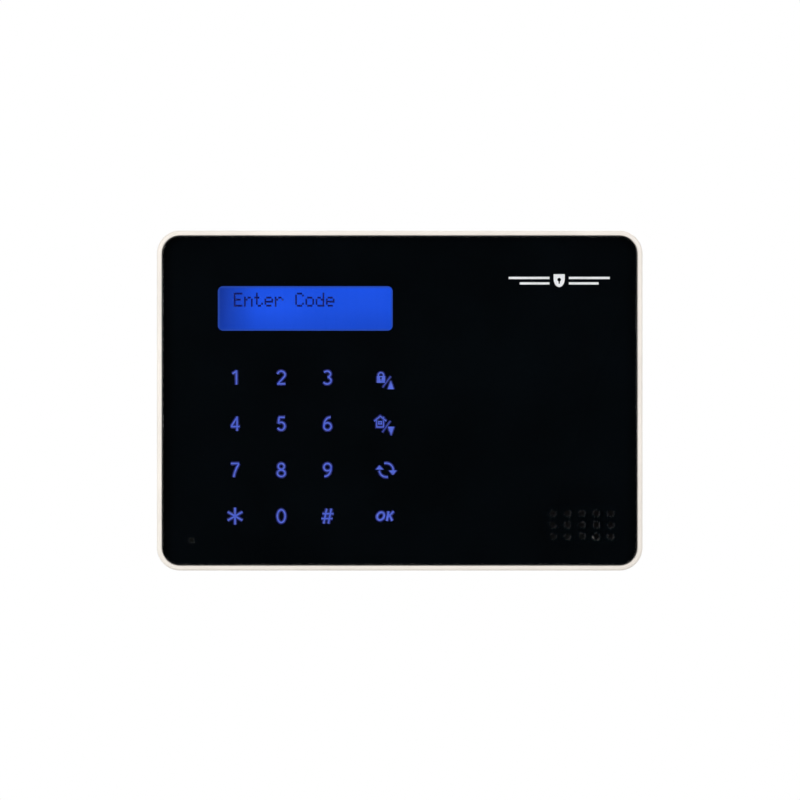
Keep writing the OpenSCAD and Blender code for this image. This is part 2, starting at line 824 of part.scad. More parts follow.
// Copper loops of the card reader's antenna, above the strip where its lead is soldered
module antenna_coil() {
    z = deck_back - antenna_t;
    strip = 7;
    color("peru") upright() translate([antenna_x, antenna_y + strip / 2, 0]) for (i = [0:4]) {
        w = antenna_w - 3 - i * 2.4;
        h = antenna_h - strip - 3 - i * 2.4;
        difference() {
            slab(w, h, 3, z - track_t, z);
            slab(w - 2 * track_w, h - 2 * track_w, 3 - track_w, z - track_t - 1, z + 1);
        }
    }
}

module lead_sockets() {
    color("ivory") upright() for (y = socket_ys) translate([socket_x, y, 0]) difference() {
        block(socket_w, 7, board_back - socket_h, board_back);
        translate([2, 0, 0]) block(socket_w, 5.2, board_back - socket_h + 0.8, board_back - 0.8);
    }
}

module lead_plugs() {
    color("white") upright() for (y = socket_ys) translate([socket_x + socket_w / 2, y, 0]) {
        translate([-1, 0, 0]) block(4, 5, board_back - socket_h + 0.9, board_back - 0.9);
        translate([plug_l / 2 + 0.1, 0, 0])
            block(plug_l - 0.2, 6, board_back - socket_h + 0.4, board_back - 0.4);
    }
}

module speaker_lead() {
    color("red") upright() tube(smooth_path(speaker_route, 4), lead_dia / 2, 8, [0, 1, 0.2]);
}

module antenna_lead() {
    color("black") upright() tube(smooth_path(antenna_route, 4), lead_dia / 2, 8, [0, 1, 0.2]);
}

// ---------------------------------------------------------------- tamper switch

module tamper_switch() {
    color("dimgray") upright() translate([tamper_x, tamper_y, 0]) difference() {
        union() {
            block(2 * guide_r + 1, 2 * guide_r + 1, guide_end + guide_depth - 0.6, board_back);
            rod(guide_r, guide_end, guide_end + guide_depth);
        }
        rod(plunger_r + running, guide_end - 1, guide_end + guide_depth);
    }
}

module tamper_plunger() {
    color("white") upright() translate([tamper_x, tamper_y, 0]) {
        rod(plunger_head_r, 0, plunger_head_h);
        rod(plunger_r, plunger_head_h / 2, guide_end + guide_depth - 0.5);
    }
}

// Coil spring around the plunger, pressed between its head and the switch
module tamper_spring() {
    r = plunger_r + spring_wire / 2 + 0.15;
    z0 = plunger_head_h + spring_wire / 2 + 0.02;
    z1 = guide_end - spring_wire / 2 - 0.02;
    n = 12 * spring_turns;
    path = [for (i = [0:n]) [r * cos(30 * i), r * sin(30 * i), z0 + (z1 - z0) * i / n]];
    color("silver") upright() translate([tamper_x, tamper_y, 0]) tube(path, spring_wire / 2, 8, [0, 0, 1]);
}

// ---------------------------------------------------------------- terminals

// Places children at wire terminal i, counted from 1
module at_terminal(i) {
    translate([terminal_x + (i - (terminals + 1) / 2) * terminal_pitch, terminal_y, 0]) children();
}

module terminal_block() {
    color("green") upright() difference() {
        translate([terminal_x, terminal_y, 0])
            block(terminal_w, terminal_d, board_back - terminal_h, board_back);
        for (i = [1:terminals]) at_terminal(i) {
            translate([0, 2, 0]) block(chamber_w, terminal_d, chamber_z, board_back - 0.6);
            rod(screw_head_r + running, board_back - terminal_h - 1, chamber_z + 1);
        }
    }
}

// Bent clamp plates that the screws press on the wires
module terminal_clamps() {
    color("silver") upright() for (i = [1:terminals]) at_terminal(i)
        translate([0, -2 + loose, 0]) {
            translate([0, 2.2, 0]) block(chamber_w - 0.4, 4.4, chamber_z + 0.05, chamber_z + 0.65);
            translate([0, 0.3, 0]) block(chamber_w - 0.4, 0.6, chamber_z + 0.05, board_back - 0.6);
        }
}

// Slotted screw of wire terminal i
module terminal_screw(i) {
    z0 = board_back - terminal_h + 0.4;
    color("silver") upright() at_terminal(i) difference() {
        union() {
            rod(screw_head_r, z0, z0 + 1.6);
            rod(screw_shank_r, z0 + 1, chamber_z);
        }
        block(2 * screw_head_r + 1, 0.6, z0 - 1, z0 + 0.8);
    }
}

// ---------------------------------------------------------------- selectors and trimmer

// Places children at selector switch i, counted from 1
module at_dip(i) {
    translate([dip_x, dip_y + (i - (dips + 1) / 2) * dip_pitch, 0]) children();
}

module dip_switch() {
    z0 = board_back - dip_h;
    color("firebrick") upright() difference() {
        translate([dip_x, dip_y, 0]) block(6.5, dips * dip_pitch + 1.2, z0, board_back);
        for (i = [1:dips]) at_dip(i)
            block(slider_l + dip_travel + 2 * loose, slider_w + 2 * loose, z0 - 1, z0 + 1.6);
    }
}

// White slider of selector switch i
module dip_slider(i) {
    z0 = board_back - dip_h;
    color("white") upright() at_dip(i) translate([-dip_travel / 2, 0, 0])
        block(slider_l, slider_w, z0 - 0.5, z0 + 1.6 - loose);
}

module contrast_trimmer() {
    z0 = board_back - trimmer_h;
    color("royalblue") upright() translate([trimmer_x, trimmer_y, 0]) difference() {
        block(trimmer_w, trimmer_w, z0, board_back);
        rod(rotor_r + running, z0 - 1, z0 + rotor_pocket);
    }
}

module trimmer_rotor() {
    z0 = board_back - trimmer_h;
    color("white") upright() translate([trimmer_x, trimmer_y, 0]) difference() {
        rod(rotor_r, z0 - 0.3, z0 + rotor_pocket - running);
        for (a = [0, 90]) rotate([0, 0, a]) block(rotor_dia * 0.7, 0.6, z0 - 1, z0 + 0.4);
    }
}

// ---------------------------------------------------------------- parts

back_plate();
thread_insert();
locking_screw();
front_housing();
front_panel();
print_film();
panel_tape();
lcd_bezel();
lcd_glass();
lcd_backlight();
lcd_board();
lcd_header();
lcd_screws();
key_diffuser();
touch_board();
touch_header();
light_funnels();
key_leds();
main_board();
board_screws();
processor();
capacitors();
board_chips();
speaker_gasket();
speaker_frame();
speaker_cone();
speaker_magnet();
acoustic_mesh();
microphone();
mic_boot();
mic_pins();
antenna_board();
antenna_coil();
lead_sockets();
lead_plugs();
speaker_lead();
antenna_lead();
tamper_switch();
tamper_spring();
tamper_plunger();
terminal_block();
terminal_clamps();
dip_switch();
contrast_trimmer();
trimmer_rotor();
for (i = [1:terminals]) terminal_screw(i);
for (i = [1:dips]) dip_slider(i);
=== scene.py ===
"""Finishes, legends, display and stage for the wall keypad.

The frame gives every solid piece. This file paints them, adds the lit legends, the
display's face and its characters, and sets up the floor, the lights and the camera.
Lengths in the frame are metres; front-view shapes are worked out in millimetres.
"""

import json
import math

import bmesh
import bpy
import numpy as np
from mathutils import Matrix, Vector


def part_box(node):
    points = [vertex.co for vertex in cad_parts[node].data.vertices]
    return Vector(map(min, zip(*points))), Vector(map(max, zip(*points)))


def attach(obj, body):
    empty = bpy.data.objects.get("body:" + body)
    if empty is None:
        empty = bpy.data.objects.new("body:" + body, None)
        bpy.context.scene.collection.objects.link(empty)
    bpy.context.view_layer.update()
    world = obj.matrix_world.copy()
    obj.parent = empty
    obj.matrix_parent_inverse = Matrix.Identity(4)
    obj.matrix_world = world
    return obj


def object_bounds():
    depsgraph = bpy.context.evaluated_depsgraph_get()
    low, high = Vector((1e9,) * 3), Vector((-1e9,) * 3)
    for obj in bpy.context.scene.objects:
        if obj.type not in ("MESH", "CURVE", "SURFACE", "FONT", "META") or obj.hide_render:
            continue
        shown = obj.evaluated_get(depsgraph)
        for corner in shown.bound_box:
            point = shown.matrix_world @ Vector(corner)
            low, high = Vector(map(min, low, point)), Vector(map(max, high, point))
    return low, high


bl_info = {
    "name": "Wall keypad finishes",
    "version": (1, 0, 0),
    "blender": (4, 5, 0),
    "location": "3D View > Sidebar > Keypad",
    "description": "Paints the keypad's pieces and adds its legends, display and stage",
    "category": "Object",
}

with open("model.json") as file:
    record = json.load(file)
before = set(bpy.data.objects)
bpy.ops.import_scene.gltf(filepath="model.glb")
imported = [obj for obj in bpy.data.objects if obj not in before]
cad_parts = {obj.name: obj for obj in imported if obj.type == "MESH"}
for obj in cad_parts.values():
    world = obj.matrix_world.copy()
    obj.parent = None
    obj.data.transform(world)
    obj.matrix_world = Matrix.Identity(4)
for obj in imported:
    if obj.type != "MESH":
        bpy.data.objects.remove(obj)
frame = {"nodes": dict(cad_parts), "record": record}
CAD_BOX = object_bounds()

MM = 0.001
FRONT = "front_half"

# Width and height of a key's lamp in millimetres, which the key grid is read from
LAMP_W, LAMP_H = 1.6, 0.8

# Black felt, in linear light
FELT = (0.004, 0.004, 0.004, 1.0)

# How much wider the digits are than their centre lines' own proportions
DIGIT_WIDE = 1.17

# How far the front pieces stand off the surface under them, in millimetres: the mark's light and dark
# parts off the print, then the display's face and its characters off the glass
MARK_LIGHT, MARK_DARK = 0.03, 0.05
FACE_BACK, FACE_FRONT, DOTS_BACK, DOTS_FRONT = 0.01, 0.06, 0.07, 0.10


# ------------------------------------------------------------ the frame's places

def middle(node):
    """Centre of a CAD node's box, in metres."""
    low, high = (np.array(corner, float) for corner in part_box(node))
    return (low + high) / 2


def key_centres():
    """Front-view centres of the four by four keys, in millimetres, from the lamps behind them."""
    low, high = (np.array(corner, float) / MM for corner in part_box("key_leds"))
    half_w, half_h = LAMP_W / 2, LAMP_H / 2
    rows = np.linspace(high[2] - half_h, low[2] + half_h, 4)
    pitch = rows[0] - rows[1]
    columns = [low[0] + half_w + i * pitch for i in range(3)] + [high[0] - half_w]
    return [[(x, z) for x in columns] for z in rows]


# ------------------------------------------------------------ settings

def colour_setting(name, description, default):
    """A colour that the sidebar shows, in linear light."""
    return bpy.props.FloatVectorProperty(
        name=name, description=description, default=default, subtype="COLOR", size=3, min=0.0, max=1.0)


def length_setting(name, description, default_mm):
    """A length that the sidebar shows, kept in metres."""
    return bpy.props.FloatProperty(
        name=name, description=description, default=default_mm * MM, min=0.0,
        precision=5, subtype="DISTANCE", unit="LENGTH")


class KeypadColours(bpy.types.PropertyGroup):
    """Colours of the keypad's finishes."""

    housing: colour_setting("Housing", "Moulded housing and back plate", (0.85, 0.80, 0.74))
    print_black: colour_setting("Black print", "Print behind the clear sheet", (0.0019, 0.0034, 0.0048))
    legend: colour_setting("Legend", "Lit digits and symbols", (0.055, 0.094, 0.475))
    halo: colour_setting("Halo", "Light that spreads in the print around a legend", (0.0008, 0.0022, 0.085))
    display: colour_setting("Display", "Face where its backlight is full", (0.0115, 0.087, 0.82))
    display_dim: colour_setting("Display, dim side", "Face far from its lamps", (0.0070, 0.019, 0.15))
    display_edge: colour_setting("Display, edge", "Light caught by the window's edge", (0.026, 0.072, 0.40))
    ink: colour_setting("Characters", "Dark dots of the display's characters", (0.0002, 0.0025, 0.085))
    emblem: colour_setting("Emblem", "White mark near the top right corner", (0.80, 0.81, 0.83))
    mask: colour_setting("Solder mask", "Coating of the circuit boards", (0.012, 0.105, 0.042))


class KeypadSizes(bpy.types.PropertyGroup):
    """Sizes of the pieces that this file adds."""

    digit_h: length_setting("Digit height", "Height of the digits", 5.0)
    digit_stroke: length_setting("Digit stroke", "Width of a digit's strokes", 0.52)
    halo_spread: length_setting("Halo spread", "How far the halo reaches past a stroke", 0.4)
    window_w: length_setting("Window width", "Width of the display's window", 60.5)
    window_h: length_setting("Window height", "Height of the display's window", 15.4)
    first_row: length_setting("First row", "From the window's middle up to the characters' top dots", 5.2)
    cell_w: length_setting("Character pitch", "Distance between neighbouring characters", 3.55)
    dot_pitch_x: length_setting("Dot pitch across", "Distance across between a character's dots", 0.6)
    dot_pitch_z: length_setting("Dot pitch up", "Distance up between a character's dots", 0.7)
    dot_gap: length_setting("Dot gap", "Gap between neighbouring dots", 0.02)
    emblem_w: length_setting("Emblem width", "Width of the mark", 35.0)
    emblem_h: length_setting("Emblem height", "Height of the mark", 4.5)
    emblem_right: length_setting("Emblem from right", "Sheet's right edge to the mark's centre", 27.0)
    emblem_top: length_setting("Emblem from top", "Sheet's top edge to the mark's centre", 15.5)
    prompt: bpy.props.StringProperty(
        name="Prompt", description="Words on the display's first row", default=" Enter Code", maxlen=16)


# ------------------------------------------------------------ shader expressions

class Field:
    """A number or colour that changes over a surface: one output socket, with arithmetic."""

    def __init__(self, paint, socket):
        self.paint, self.socket = paint, socket

    def _math(self, operation, *terms, clamp=False):
        """One Math node over the terms, which are numbers or other fields."""
        return self.paint.node("ShaderNodeMath", {"operation": operation, "use_clamp": clamp},
                               dict(enumerate(terms)))

    def __add__(self, other):
        return self._math("ADD", self, other)

    def __sub__(self, other):
        return self._math("SUBTRACT", self, other)

    def __rsub__(self, other):
        return self._math("SUBTRACT", other, self)

    def __mul__(self, other):
        return self._math("MULTIPLY", self, other)

    def __truediv__(self, other):
        return self._math("DIVIDE", self, other)

    def __pow__(self, other):
        return self._math("POWER", self, other)

    def __abs__(self):
        return self._math("ABSOLUTE", self)

    def __gt__(self, other):
        return self._math("GREATER_THAN", self, other)

    def __lt__(self, other):
        return self._math("LESS_THAN", self, other)

    __radd__, __rmul__ = __add__, __mul__

    def most(self, other):
        """The larger of the two."""
        return self._math("MAXIMUM", self, other)

    def sine(self):
        """The sine of the number, taken as an angle in radians."""
        return self._math("SINE", self)

    def fract(self):
        """What is left of the number after its whole part."""
        return self._math("FRACT", self)

    def step(self, start, end):
        """0 up to start, 1 from end on, and a straight ramp between them."""
        return self._math("MULTIPLY_ADD", self, 1 / (end - start), -start / (end - start), clamp=True)


def rgba(colour, gain=1.0):
    """A colour with its alpha, made lighter or darker by gain."""
    return (*(min(1.0, part * gain) for part in tuple(colour)[:3]), 1.0)


class Paint:
    """A node tree that is built from expressions."""

    def __init__(self, owner):
        self.owner = owner
        owner.use_nodes = True
        self.tree = owner.node_tree
        self.tree.nodes.clear()

    def node(self, kind, settings=None, inputs=None, output=0):
        """Adds a node: its settings first, then its sockets' values or links. Returns one output, if any."""
        node = self.tree.nodes.new(kind)
        for name, value in (settings or {}).items():
            setattr(node, name, value)
        for name, value in (inputs or {}).items():
            if isinstance(value, Field):
                self.tree.links.new(value.socket, node.inputs[name])
            else:
                node.inputs[name].default_value = value
        return Field(self, node.outputs[output]) if node.outputs else None

    def place(self):
        """Object coordinates, in metres."""
        return self.node("ShaderNodeTexCoord", output="Object")

    def axis(self, name):
        """One object coordinate, in millimetres."""
        return self.node("ShaderNodeSeparateXYZ", inputs={0: self.place()}, output=name) * (1 / MM)

    def facing_plane(self):
        """Object coordinates laid flat as the front view shows them: across, up, nothing."""
        split = self.node("ShaderNodeSeparateXYZ", inputs={0: self.place()}, output="X")
        up = Field(self, split.socket.node.outputs["Z"])
        return self.node("ShaderNodeCombineXYZ", inputs={"X": split, "Y": up})

    def stretched(self, factors):
        """Object coordinates, multiplied along each axis."""
        return self.node("ShaderNodeVectorMath", {"operation": "MULTIPLY"}, {0: self.place(), 1: factors})

    def noise(self, size_mm, detail=2.0, rough=0.5, at=None):
        """Soft random blotches, size_mm across, around one half."""
        return self.node("ShaderNodeTexNoise", inputs={
            "Vector": at or self.place(), "Scale": 1 / (size_mm * MM), "Detail": detail, "Roughness": rough})

    def specks(self, size_mm, at=None):
        """Distance to the nearest of many scattered points, in spacings."""
        return self.node("ShaderNodeTexVoronoi", inputs={
            "Vector": at or self.place(), "Scale": 1 / (size_mm * MM)}, output="Distance")

    def blend(self, factor, first, second):
        """One colour, turning into the other as factor goes from 0 to 1."""
        return self.node("ShaderNodeMix", {"data_type": "RGBA"}, {0: factor, 6: first, 7: second}, output=2)

    def faces_front(self):
        """1 where the surface faces the front, 0 on its sides and back."""
        normal = self.node("ShaderNodeTexCoord", output="Normal")
        return (self.node("ShaderNodeSeparateXYZ", inputs={0: normal}, output="Y") * -1).step(0.9, 0.95)

    def soft_edges(self, radius_mm):
        """The surface's normal, rounded over along its edges."""
        return self.node("ShaderNodeBevel", {"samples": 6}, {"Radius": radius_mm * MM})

    def wear(self, radius_mm):
        """1 on sharp edges, 0 on flats, broken up as handling breaks up a finish."""
        rounded = self.soft_edges(radius_mm)
        normal = self.node("ShaderNodeNewGeometry", output="Normal")
        turned = 1 - self.node("ShaderNodeVectorMath", {"operation": "DOT_PRODUCT"},
                               {0: rounded, 1: normal}, output="Value")
        return (turned * 6).step(0.1, 1.0) * self.noise(1.4, 3).step(0.35, 0.65)

    def bump(self, height, depth_mm, under=None):
        """A normal with the height field pressed into it, depth_mm deep."""
        inputs = {"Strength": 1.0, "Distance": depth_mm * MM, "Height": height}
        if under:
            inputs["Normal"] = under
        return self.node("ShaderNodeBump", inputs=inputs)

    def tracks(self, at):
        """1 on narrow lines that run across the pattern, broken here and there, 0 between them."""
        return self.node("ShaderNodeTexBrick", {"offset": 0.37}, {
            "Vector": at, "Scale": 1 / MM, "Mortar Size": 0.14, "Mortar Smooth": 0.1,
            "Brick Width": 23.0, "Row Height": 1.25}, output="Fac")

    def surface(self, **inputs):
        """Ends the tree in a surface shader. Words in a socket's name are joined by underscores."""
        named = {name.replace("_", " "): value for name, value in inputs.items()}
        named = {"IOR" if name == "ior" else name: value for name, value in named.items()}
        shader = self.node("ShaderNodeBsdfPrincipled", inputs=named)
        self.node("ShaderNodeOutputMaterial", inputs={"Surface": shader})
        return self.owner


def paint(name):
    """A new material, ready to be built."""
    return Paint(bpy.data.materials.new(name))


def give(slot, material):
    """Puts a material on every CAD node that takes its finish from that slot."""
    found = [part["node"] for part in frame["record"]["subparts"] if part["material_slot"] == slot]
    if not found:
        raise RuntimeError(f"no CAD node has the slot {slot}")
    for node in found:
        for held in frame["nodes"][node].material_slots:
            held.material = material


# ------------------------------------------------------------ finishes

def moulded(name, colour, roughness=0.42, grain_mm=0.22, depth_mm=0.012, worn=0.25, edge_mm=0.25):
    """Moulded plastic or rubber: a fine spark-eroded grain, faint flow clouds and rubbed edges."""
    p = paint(name)
    grain = p.noise(grain_mm, 3, 0.6)
    cloud = p.noise(22, 3)
    wear = p.wear(edge_mm) * worn
    tone = p.blend(cloud.step(0.3, 0.7), rgba(colour, 0.94), rgba(colour, 1.04))
    tone = p.blend(wear, tone, rgba([part * 0.8 + 0.2 * max(colour) + 0.02 for part in colour]))
    return p.surface(
        Base_Color=tone,
        Roughness=roughness + (grain - 0.5) * 0.16 + (cloud - 0.5) * 0.10 - wear * 0.12,
        Normal=p.bump(grain, depth_mm, p.soft_edges(edge_mm)))


def plated(name, colour, roughness=0.3, lay=(60.0, 900.0, 900.0), depth_mm=0.004, stain=0.35, felt=False):
    """Bare or plated metal: fine drawn lines along one axis, dull stains and bright edges.
    With felt, black felt covers whatever faces the front."""
    p = paint(name)
    lines = p.noise(1 / MM, 3, 0.7, at=p.stretched(lay)) if lay else p.noise(0.3, 3)
    cloud = p.noise(5, 4, 0.6).step(0.35, 0.75) * stain
    wear = p.wear(0.15)
    tone = p.blend(cloud, rgba(colour, 1.05), rgba(colour, 0.62))
    tone = p.blend(wear * 0.5, tone, rgba(colour, 1.3))
    bare = 1 - p.faces_front() if felt else 1.0
    if felt:
        tone = p.blend(bare, FELT, tone)
    return p.surface(
        Base_Color=tone, Metallic=bare, Specular_IOR_Level=0.1 if felt else 0.5,
        Roughness=roughness + (lines - 0.5) * 0.22 + cloud * 0.25,
        Normal=p.bump(lines, depth_mm, p.soft_edges(0.15)))


def painted_steel(name, colour):
    """Satin black paint on sheet metal, rubbed through to grey at its corners."""
    p = paint(name)
    orange_peel = p.noise(0.9, 2)
    wear = p.wear(0.3)
    return p.surface(
        Base_Color=p.blend(wear * 0.7, rgba(colour), (0.22, 0.22, 0.23, 1.0)),
        Metallic=wear * 0.7, Roughness=0.42 + (orange_peel - 0.5) * 0.2,
        Normal=p.bump(orange_peel, 0.02, p.soft_edges(0.25)))


def clear_sheet(name):
    """Polished acrylic: clear, with the faintest smears and flame-polished edges."""
    p = paint(name)
    smear = p.noise(14, 4, 0.65, at=p.stretched((1.0, 1.0, 2.6))).step(0.45, 0.8)
    return p.surface(
        Base_Color=(0.97, 0.98, 0.985, 1.0), Transmission_Weight=1.0, ior=1.49,
        Roughness=0.004 + smear * 0.012, Normal=p.soft_edges(0.12))


def screen_print(name, colour):
    """Black ink behind the clear sheet, with the weave of its screen barely showing."""
    p = paint(name)
    weave = p.noise(0.12, 2)
    cloud = p.noise(30, 2)
    return p.surface(
        Base_Color=p.blend(cloud.step(0.3, 0.7), rgba(colour, 0.8), rgba(colour, 1.25)),
        Roughness=0.55 + (weave - 0.5) * 0.2, Specular_IOR_Level=0.01, Normal=p.bump(weave, 0.004))


def foam(name, colour, cell_mm):
    """Closed-cell foam: packed round cells whose walls stand a little proud."""
    p = paint(name)
    cells = p.specks(cell_mm)
    # The colour follows the cells' height: painted shade in each cell's hollow and a painted highlight on its
    # proud walls.
    return p.surface(
        Base_Color=p.blend(cells.step(0.15, 0.6), rgba(colour, 0.7), rgba(colour, 1.5)),
        Roughness=0.85 + (cells - 0.4) * 0.12, Normal=p.bump(cells, 0.08))


def woven(name, colour, pitch_mm):
    """Plain-weave cloth: threads that go over and under each other by turns."""
    p = paint(name)
    turn = math.pi / pitch_mm
    across = (p.axis("X") * turn).sine()
    up = (p.axis("Z") * turn).sine()
    over = (across * up > 0) * 1.0
    thread = over * abs(across) + (1 - over) * abs(up)
    # The colour follows the threads' height: painted shade where a thread dips under its neighbour and a
    # painted highlight along its crest.
    return p.surface(
        Base_Color=p.blend(thread, rgba(colour, 0.35), rgba(colour, 1.6)),
        Roughness=0.8 + (p.noise(0.4) - 0.5) * 0.2, Specular_IOR_Level=0.04,
        Normal=p.bump(thread, 0.06))


def pressed_paper(name, colour):
    """Pressed paper pulp: short matted fibres and a slightly uneven dye."""
    p = paint(name)
    fibres = p.noise(0.35, 5, 0.75, at=p.stretched((1.0, 1.0, 0.35)))
    return p.surface(
        Base_Color=p.blend(fibres.step(0.3, 0.7), rgba(colour, 0.7), rgba(colour, 1.7)),
        Roughness=0.82 + (fibres - 0.5) * 0.2, Normal=p.bump(fibres, 0.05))


def sintered(name, colour):
    """Ferrite pressed and fired: matt grey grains with tiny pits."""
    p = paint(name)
    grain = p.noise(0.15, 3, 0.7)
    pits = p.specks(1.3) < 0.16
    # The pits are painted far darker than the grains round them: painted shade in the pits.
    return p.surface(
        Base_Color=p.blend(pits, p.blend(grain, rgba(colour, 0.7), rgba(colour, 1.2)), rgba(colour, 0.35)),
        Roughness=0.6 + (grain - 0.5) * 0.25, Normal=p.bump(grain - pits, 0.03, p.soft_edges(0.25)))


def circuit_board(name, mask):
    """Glass-fibre board: solder mask over copper tracks that run across or up by area, and tinned vias."""
    p = paint(name)
    flat = p.facing_plane()
    area = p.noise(16, 0, at=flat) > 0.5
    turned = p.node("ShaderNodeVectorRotate", {"rotation_type": "Z_AXIS"},
                    {"Vector": flat, "Angle": math.pi / 2})
    across, up = (p.tracks(at) for at in (flat, turned))
    track = area * across + (1 - area) * up
    via_spacing, via_r, ring_r = 4.2, 0.11, 0.17
    to_via = p.specks(via_spacing, at=flat)
    via = to_via < via_r
    ring = (to_via < ring_r) * (1 - via)
    front = abs(p.node("ShaderNodeSeparateXYZ", inputs={
        0: p.node("ShaderNodeNewGeometry", output="Normal")}, output="Y")) > 0.7
    ring, via, track = ring * front, via * front, track * front
    cut_edge = 1 - front
    tone = p.blend(track, rgba(mask), rgba([1.5 * part + 0.008 for part in mask]))
    tone = p.blend(ring, tone, (0.62, 0.60, 0.55, 1.0))
    tone = p.blend(via, tone, (0.01, 0.012, 0.01, 1.0))
    tone = p.blend(cut_edge, tone, (0.30, 0.33, 0.17, 1.0))
    weave = p.noise(0.5, 2)
    return p.surface(
        Base_Color=tone, Metallic=ring * 0.9,
        Roughness=0.28 + (weave - 0.5) * 0.12 + cut_edge * 0.4,
        Normal=p.bump(track * 0.7 + ring - via + weave * 0.2, 0.03, p.soft_edges(0.12)))


def lit_surface(name, low, high, size_mm=3.0, roughness=0.4):
    """Something that glows: its light drifts between two colours."""
    p = paint(name)
    cloud = p.noise(size_mm, 2)
    glow = p.blend(cloud.step(0.3, 0.7), low, high)
    return p.surface(
        Base_Color=p.blend(cloud, rgba(low, 0.3), rgba(high, 0.3)), Roughness=roughness + (cloud - 0.5) * 0.2,
        Emission_Color=glow, Emission_Strength=1.0)


def display_glow(name, colours, sizes):
    """The backlit face: dim at the lamps' far side, cloudy across, paler along the window's edge,
    with the faint grid of its sixteen by two characters."""
    p = paint(name)
    centre = middle("lcd_bezel") / MM
    half_w, half_h = sizes.window_w / MM / 2, sizes.window_h / MM / 2
    across, up = p.axis("X") - centre[0], p.axis("Z") - centre[2]
    from_left = (across + half_w).step(-4.0, 13.0)
    lamp = p.noise(24, 0).step(0.25, 0.80)
    full = p.blend(lamp, rgba(colours.display, 0.90), rgba(colours.display, 1.10))
    tone = p.blend(from_left, rgba(colours.display_dim), full)
    low_side = (up + half_h).step(1.0, 8.0)
    tone = p.blend(low_side * 0.4 + 0.6, rgba(colours.display, 0.52), tone)
    edge = (abs(across) - half_w).most(abs(up) - half_h).step(-0.75, -0.30)
    tone = p.blend(edge * 0.75, tone, rgba(colours.display_edge))
    cell = sizes.cell_w / MM
    grid = abs(((across / cell) + 50.0).fract() - 0.5).step(0.42, 0.46)
    tone = p.blend(grid * 0.035, tone, (0.0, 0.01, 0.12, 1.0))
    return p.surface(
        Base_Color=(0.002, 0.006, 0.03, 1.0), Roughness=0.3 + (lamp - 0.5) * 0.1, Specular_IOR_Level=0.05,
        Emission_Color=tone, Emission_Strength=1.0)


# ------------------------------------------------------------ shapes

def arc(centre, radii, start, end, count=15):
    """Points along an ellipse: centre + radii * (cos a, sin a), a running from start to end in degrees."""
    a = np.radians(np.linspace(start, end, count))
    return np.column_stack([centre[0] + radii[0] * np.cos(a), centre[1] + radii[1] * np.sin(a)])


def loop(centre, radii, count=32):
    """A closed ellipse, without its last point, which would repeat the first."""
    return arc(centre, radii, 0, 360, count + 1)[:-1]


def carried(path, width, back, front, closed=False):
    """A bar carried along a path in the front view, as (points, faces).

    At each point of the path stand the four corners of a rectangle. Its long side lies
    along the mitred normal (n0 + n1) / (1 + n0.n1) of the two legs that meet there, half the
    width each way, and its other side reaches from back to front. Neighbouring rectangles
    are joined, and an open path is capped at both ends.
    """
    path = np.asarray(path, float)
    legs = np.diff(path, axis=0, append=path[:1]) if closed else np.diff(path, axis=0)
    legs = legs / np.linalg.norm(legs, axis=1)[:, None]
    normals = np.column_stack([-legs[:, 1], legs[:, 0]])
    if closed:
        before, after = np.roll(normals, 1, axis=0), normals
    else:
        before = np.vstack([normals[:1], normals])
        after = np.vstack([normals, normals[-1:]])
    mitre = (before + after) / (1 + np.sum(before * after, axis=1))[:, None]
    reach = mitre * (np.broadcast_to(width, len(path)) / 2)[:, None]
    sides = np.stack([path + reach, path - reach, path - reach, path + reach], axis=1)
    depth = np.broadcast_to([back, back, front, front], (len(path), 4))
    points = np.dstack([sides[:, :, 0], -depth, sides[:, :, 1]]).reshape(-1, 3)
    rows = np.arange(len(path) if closed else len(path) - 1)[:, None] * 4
    k = np.arange(4)[None, :]
    ahead = (rows + 4) % (4 * len(path))
    faces = np.stack([rows + k, ahead + k, ahead + (k + 1) % 4, rows + (k + 1) % 4], axis=2).reshape(-1, 4)
    if not closed:
        last = 4 * len(path) - 4
        faces = np.vstack([faces, [[3, 2, 1, 0]], last + np.arange(4)[None, :]])
    return points, faces


def blocks(centres, size, back, front):
    """Many equal bars in the front view: each centre plus or minus half the size, as (points, faces)."""
    signs = np.array([[-1, -1], [1, -1], [1, 1], [-1, 1]]) / 2 * size
    flat = np.asarray(centres, float)[:, None, :] + signs[None, :, :]
    layers = [np.dstack([flat[:, :, 0], np.full(flat.shape[:2], -z), flat[:, :, 1]]) for z in (back, front)]
    points = np.concatenate(layers, axis=1).reshape(-1, 3)
    one = np.array([[0, 1, 2, 3], [7, 6, 5, 4], [0, 4, 5, 1], [1, 5, 6, 2], [2, 6, 7, 3], [3, 7, 4, 0]])
    return points, (np.arange(len(flat))[:, None, None] * 8 + one[None]).reshape(-1, 4)


def make_piece(name, shells, materials):
    """One mesh object on the front half from (points in mm, faces, material number) shells."""
    counts = np.cumsum([0] + [len(points) for points, _, _ in shells])
    points = np.vstack([points for points, _, _ in shells]) * MM
    faces = np.vstack([faces + start for (_, faces, _), start in zip(shells, counts)])
    mesh = bpy.data.meshes.new(name)
    mesh.from_pydata(points.tolist(), [], faces.tolist())
    mesh.polygons.foreach_set("material_index", np.concatenate(
        [np.full(len(faces), number, np.int32) for _, faces, number in shells]))
    for material in materials:
        mesh.materials.append(material)
    work = bmesh.new()
    work.from_mesh(mesh)
    bmesh.ops.recalc_face_normals(work, faces=work.faces)
    work.to_mesh(mesh)
    work.free()
    piece = bpy.data.objects.new(name, mesh)
    bpy.context.scene.collection.objects.link(piece)
    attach(piece, FRONT)
    return piece


# ------------------------------------------------------------ legends

